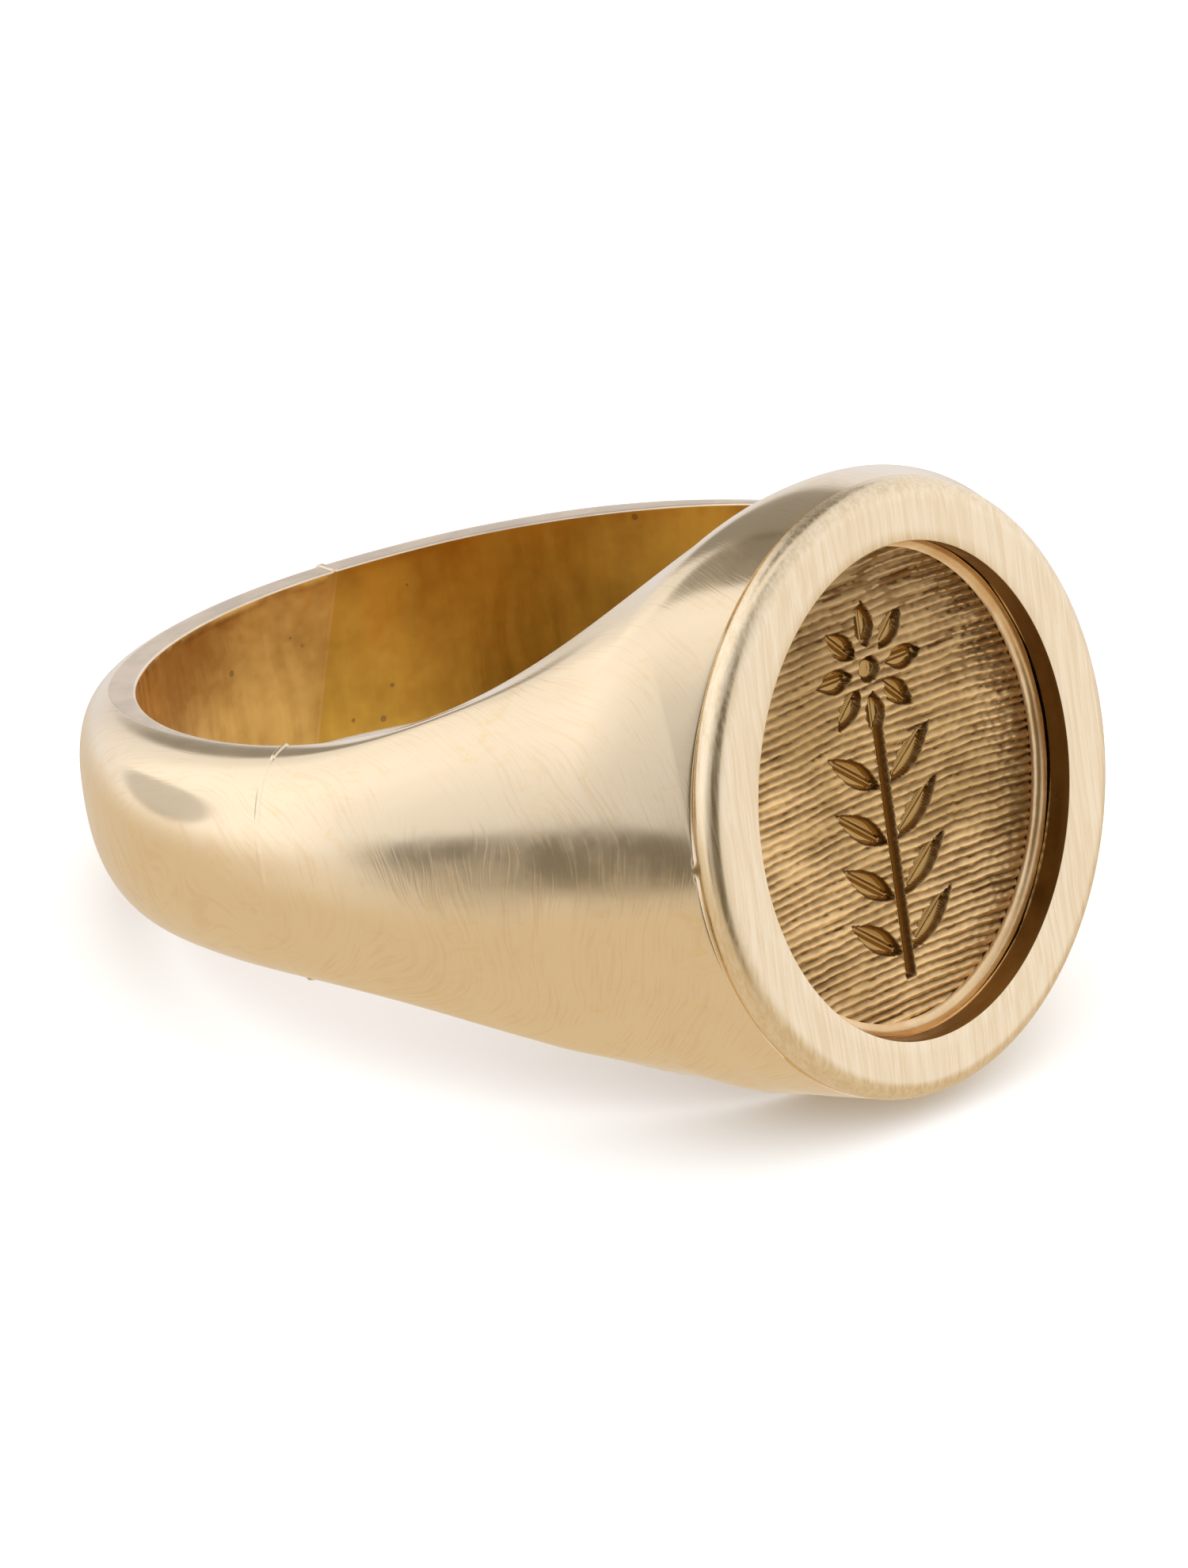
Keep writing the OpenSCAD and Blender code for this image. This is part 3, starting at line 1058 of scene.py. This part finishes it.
engraved = {
    "cutsFrom": 0.1,  # depths between which a cut takes its darker colour, painted shade
    "cutsUntil": 0.24,
    "topFrom": 0.5,  # heights between which the plate grows darker towards the top
    "topUntil": 5.2,
    "topShare": 0.65,
    "cloudScale": 380,
    "light": (0.96, 0.64, 0.29),
    "clouded": (0.66, 0.42, 0.165),
    "top": (0.28, 0.17, 0.07),
    # groove and cut: painted shade, darker colours for the engraved lines and the emblem's cuts
    "groove": (0.22, 0.125, 0.045),
    "cut": (0.46, 0.27, 0.085),
    "roughness": 0.36,
    "cutSmoothness": 0.18,
    "toolStretch": (0.12, 1, 1),
    "toolMarks": (6000, 0.00001, 0.6), # scale, height and strength
}


def engravedGold():
    material, tree, shader, place = newMetal("engraved gold", 0.34)
    depth = tree.nodes.new("ShaderNodeSeparateXYZ")
    tree.links.new(place, depth.inputs[0])
    front = -ring["plateAt"] * unit
    lines = rangeNode(tree, depth.outputs["Y"], front, front + plate["lineDepth"] * unit)
    cuts = rangeNode(tree, depth.outputs["Y"], front + engraved["cutsFrom"] * unit,
                     front + engraved["cutsUntil"] * unit)
    patina = useGroup(tree, "patina", place, **{"Cloud Scale": engraved["cloudScale"]})
    top = rangeNode(tree, depth.outputs["Z"], engraved["topFrom"] * unit, engraved["topUntil"] * unit)
    light = mixColor(tree, patina.outputs["Clouds"], engraved["light"], engraved["clouded"])
    light = mixColor(tree, mathNode(tree, "MULTIPLY", top, engraved["topShare"]), light, engraved["top"])
    # painted shade: the deeper into a line or cut, the darker its colour
    color = mixColor(tree, cuts, mixColor(tree, lines, light, engraved["groove"]), engraved["cut"])
    tree.links.new(color, shader.inputs["Base Color"])
    smoother = mathNode(tree, "MULTIPLY", cuts, engraved["cutSmoothness"])
    tree.links.new(mathNode(tree, "SUBTRACT", engraved["roughness"], smoother), shader.inputs["Roughness"])
    fine = mappingNode(tree, place, scale=engraved["toolStretch"])
    scale, height, strength = engraved["toolMarks"]
    addBump(tree, shader, noiseNode(tree, fine, scale, detail=2), height, strength=strength)
    return material


soldered = {
    "roughness": 0.28,
    "cloudScale": 1200,
    "light": (0.92, 0.66, 0.36),
    "dark": (0.80, 0.52, 0.25),
    "waves": (2500, 0.00002, 0.5),  # scale, height and strength
}


def solderGold():
    material, tree, shader, place = newMetal("gold solder", soldered["roughness"])
    patina = useGroup(tree, "patina", place, **{"Cloud Scale": soldered["cloudScale"]})
    color = mixColor(tree, patina.outputs["Clouds"], soldered["light"], soldered["dark"])
    tree.links.new(color, shader.inputs["Base Color"])
    scale, height, strength = soldered["waves"]
    addBump(tree, shader, noiseNode(tree, place, scale, detail=2), height, strength=strength)
    return material


coating = {
    "wallDepth": 0.004,  # a face this near the hole's radius is its wall
    "edgeFrom": 24,  # degrees from the face where the flat edges begin
    "edgeDrop": 0.2,  # how far below the edge a face can still be on the flat
    "recessShare": 1.002,  # a face this near the recess's oval is its wall
}


# outside, flat edges and hole wall each get their own finish, the hole wall's with painted shade
def coatBand(piece, materials):
    for material in materials:
        piece.data.materials.append(material)
    for face in piece.data.polygons:
        point = face.center / unit
        out = math.hypot(point.x, point.y) - ring["holeR"]
        phi = angleOf(face.center)
        high = abs(point.z) > edgeHeight(phi) - coating["edgeDrop"]
        if out < coating["wallDepth"]:
            face.material_index = 2
        elif phi > coating["edgeFrom"] and out < flatWidth(phi) and high:
            face.material_index = 1


# the rim's inner wall is tarnished and darkened with painted shade, the rest of it brushed
def coatRim(piece, materials):
    for material in materials:
        piece.data.materials.append(material)
    for face in piece.data.polygons:
        across = face.center.x / unit / ring["recessX"]
        upward = face.center.z / unit / ring["recessZ"]
        if math.hypot(across, upward) < coating["recessShare"]:
            face.material_index = 1


def coatPiece(piece, material):
    piece.data.materials.append(material)


outside, edge = polishedGold(), satinEdge()
# the hole walls and the recess wall take colours with painted shade in them
hole = wallGold("worn hole wall", finish["shadedHoleGold"], 0.34, 1.0)
filed = wallGold("filed hole wall", finish["shadedFiledGold"], 0.36, 2.2)
recessWall = wallGold("tarnished recess wall", finish["shadedRecessBrown"], 0.36, 1.4)
solderFinish, rimFinish, plateFinish = solderGold(), brushedRim(), engravedGold()

casting = castingPiece()
coatBand(casting, (outside, edge, hole))
print("casting done")

sizing = sizingPiece()
coatBand(sizing, (outside, edge, filed))
sideSolder = solderSeam("side_solder", -1, ring["sideSeam"], ring["sideSeam"] + ring["seamAngle"])
palmSolder = solderSeam("palm_solder", 1, ring["palmSeam"] - ring["seamAngle"], ring["palmSeam"])
for seam in (sideSolder, palmSolder):
    coatBand(seam, (outside, edge, filed))
print("sizing piece and solder done")

ovalRim, plateBead, sealPlate = rimPiece(), beadPiece(), platePiece()
coatRim(ovalRim, (rimFinish, recessWall))
coatPiece(plateBead, solderFinish)
coatPiece(sealPlate, plateFinish)
print("rim, bead and plate done")

# piece, node, slot, and the angle in degrees up to which its edges are shaded smooth
parts = (
    (casting, "head_and_shank", "polished_gold", 34),
    (sizing, "sizing_piece", "polished_gold", 34),
    (sideSolder, "side_seam", "gold_solder", 40),
    (palmSolder, "palm_seam", "gold_solder", 40),
    (ovalRim, "oval_rim", "brushed_gold", 30),
    (plateBead, "plate_bead", "gold_solder", 60),
    (sealPlate, "seal_plate", "engraved_gold", 60),
)
for piece, node, slot, angle in parts:
    smoothPiece(piece, angle)
    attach(piece, "root")
    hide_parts(node)


# degrees, metres, and the lens in millimetres
view = {
    "azimuth": -39.41,
    "elevation": 17.12,
    "roll": -8.27,
    "distance": 0.2590,
    "shiftRight": -0.000961,
    "shiftUp": 0.001433,
    "lens": 265.6,
}


def addCamera():
    azimuth, elevation, roll = (math.radians(view[key]) for key in ("azimuth", "elevation", "roll"))
    back = Vector((math.sin(azimuth) * math.cos(elevation), -math.cos(azimuth) * math.cos(elevation),
                   math.sin(elevation)))
    levelRight = (-back).cross(Vector((0, 0, 1))).normalized()
    levelUp = levelRight.cross(-back)
    right = levelRight * math.cos(roll) + levelUp * math.sin(roll)
    up = -levelRight * math.sin(roll) + levelUp * math.cos(roll)
    data = bpy.data.cameras.new("camera")
    data.lens = view["lens"]
    data.sensor_fit = "AUTO"
    data.sensor_width = 36
    data.clip_start = 0.01
    data.clip_end = 10
    camera = bpy.data.objects.new("camera", data)
    turned = Matrix((right, up, back)).transposed().to_4x4()
    turned.translation = back * view["distance"] - right * view["shiftRight"] - up * view["shiftUp"]
    camera.matrix_world = turned
    bpy.context.scene.collection.objects.link(camera)
    bpy.context.scene.camera = camera


addCamera()


floorLook = {
    "size": 4,
    "gap": 0.00001,  # metres below the ring, so that they don't share a surface
    "color": (0.92, 0.915, 0.91, 1),
    "roughness": 0.9,
}

# the ring rests on the head's lower edge and on the band behind
floorTilt = math.radians(13.1)
floorNormal = Vector((0, -math.sin(floorTilt), math.cos(floorTilt)))


def addFloor():
    touch = min((vertex.co for vertex in casting.data.vertices), key=lambda co: co.dot(floorNormal))
    level = touch.dot(floorNormal) - floorLook["gap"]
    bpy.ops.mesh.primitive_plane_add(size=floorLook["size"], location=floorNormal * level,
                                     rotation=(floorTilt, 0, 0))
    floor = bpy.context.object
    floor.name = "floor"
    material = bpy.data.materials.new("pale floor")
    material.use_nodes = True
    tree = material.node_tree
    shader = tree.nodes["Principled BSDF"]
    shader.inputs["Base Color"].default_value = floorLook["color"]
    shader.inputs["Roughness"].default_value = floorLook["roughness"]
    floor.data.materials.append(material)
    floor.visible_glossy = False       # the metal mirrors the tent's own table instead


addFloor()


studio = {
    "table": (0.72, 0.63, 0.51),  # what the metal mirrors from below
    "tent": (1.06, 1.09, 1.22),  # and from above
    "plain": 1.6,  # white light on everything that isn't mirrored
    "dark": (0.10, 0.08, 0.04),  # what the patches and the ceiling darken towards
    "tableUntil": (-28, -8),  # degrees up over which the table gives way to the tent
    "ceilingFrom": (18, 50),  # and over which the tent darkens a little
    "ceilingDark": 0.16,
    # brightness of the tent round the ring, in degrees from +X towards the palm
    "walls": ((-180, 0.86), (-172, 0.72), (-160, 0.52), (-145, 0.50), (-100, 0.84), (-40, 0.93), (20, 0.86),
              (70, 0.74), (88, 0.86), (110, 1.09), (150, 1.12), (163, 1.06), (175, 0.95), (180, 0.86)),
    # dark patches: azimuth, elevation, half width, half height, how dark, how soft
    "patches": ((-168, -12, 11, 7, 0.84, 0.45), (119, -5, 18, 11, 0.46, 0.25), (82, 57, 40, 17, 0.80, 0.22),
                (62, 34, 20, 26, 0.72, 0.3), (-130, 6, 23, 38, 0.95, 0.3)),
}


# a soft dark patch in the tent
def patchMask(tree, azimuth, elevation, patch):
    away, high, wide, tall, dark, soft = patch
    across = mathNode(tree, "DIVIDE", mathNode(tree, "SUBTRACT", azimuth, away), wide)
    upward = mathNode(tree, "DIVIDE", mathNode(tree, "SUBTRACT", elevation, high), tall)
    squares = mathNode(tree, "ADD", mathNode(tree, "POWER", mathNode(tree, "ABSOLUTE", across), 2.0),
                       mathNode(tree, "POWER", mathNode(tree, "ABSOLUTE", upward), 2.0))
    return rangeNode(tree, squares, 1 - soft, 1 + soft, outLow=dark, outHigh=0.0)


def addWorld():
    world = bpy.data.worlds.new("studio")
    bpy.context.scene.world = world
    world.use_nodes = True
    tree = world.node_tree
    plain = tree.nodes["Background"]
    plain.inputs["Color"].default_value = (1, 1, 1, 1)
    plain.inputs["Strength"].default_value = studio["plain"]

    direction = tree.nodes.new("ShaderNodeTexCoord").outputs["Generated"]
    parts = []
    for axis in (Vector((1, 0, 0)), floorNormal.cross(Vector((1, 0, 0))), floorNormal):
        dot = tree.nodes.new("ShaderNodeVectorMath")
        dot.operation = "DOT_PRODUCT"
        tree.links.new(direction, dot.inputs[0])
        dot.inputs[1].default_value = axis
        parts.append(dot.outputs["Value"])
    azimuth = mathNode(tree, "MULTIPLY", mathNode(tree, "ARCTAN2", parts[1], parts[0]), 180 / math.pi)
    elevation = mathNode(tree, "MULTIPLY", mathNode(tree, "ARCSINE", parts[2]), 180 / math.pi)

    ramp = tree.nodes.new("ShaderNodeValToRGB")
    ramp.color_ramp.interpolation = "EASE"
    tree.links.new(rangeLinear(tree, azimuth, -180, 180), ramp.inputs["Fac"])
    stops = ramp.color_ramp.elements
    while len(stops) < len(studio["walls"]):
        stops.new(0.5)
    for stop, (angle, value) in zip(stops, studio["walls"]):
        stop.position = (angle + 180) / 360
        stop.color = (value, value, value, 1)
    tent = mixColor(tree, 1.0, studio["tent"], ramp.outputs["Color"], blend="MULTIPLY")
    light = mixColor(tree, rangeNode(tree, elevation, *studio["tableUntil"]), studio["table"], tent)
    ceiling = rangeNode(tree, elevation, *studio["ceilingFrom"], outHigh=studio["ceilingDark"])
    light = mixColor(tree, ceiling, light, studio["dark"])
    for patch in studio["patches"]:
        light = mixColor(tree, patchMask(tree, azimuth, elevation, patch), light, studio["dark"])

    mirrored = tree.nodes.new("ShaderNodeBackground")
    tree.links.new(light, mirrored.inputs["Color"])
    chooser = tree.nodes.new("ShaderNodeMixShader")
    tree.links.new(tree.nodes.new("ShaderNodeLightPath").outputs["Is Glossy Ray"], chooser.inputs["Fac"])
    tree.links.new(plain.outputs[0], chooser.inputs[1])
    tree.links.new(mirrored.outputs[0], chooser.inputs[2])
    tree.links.new(chooser.outputs[0], tree.nodes["World Output"].inputs["Surface"])


addWorld()
bpy.context.scene.view_settings.view_transform = "Standard"
print("stage done")
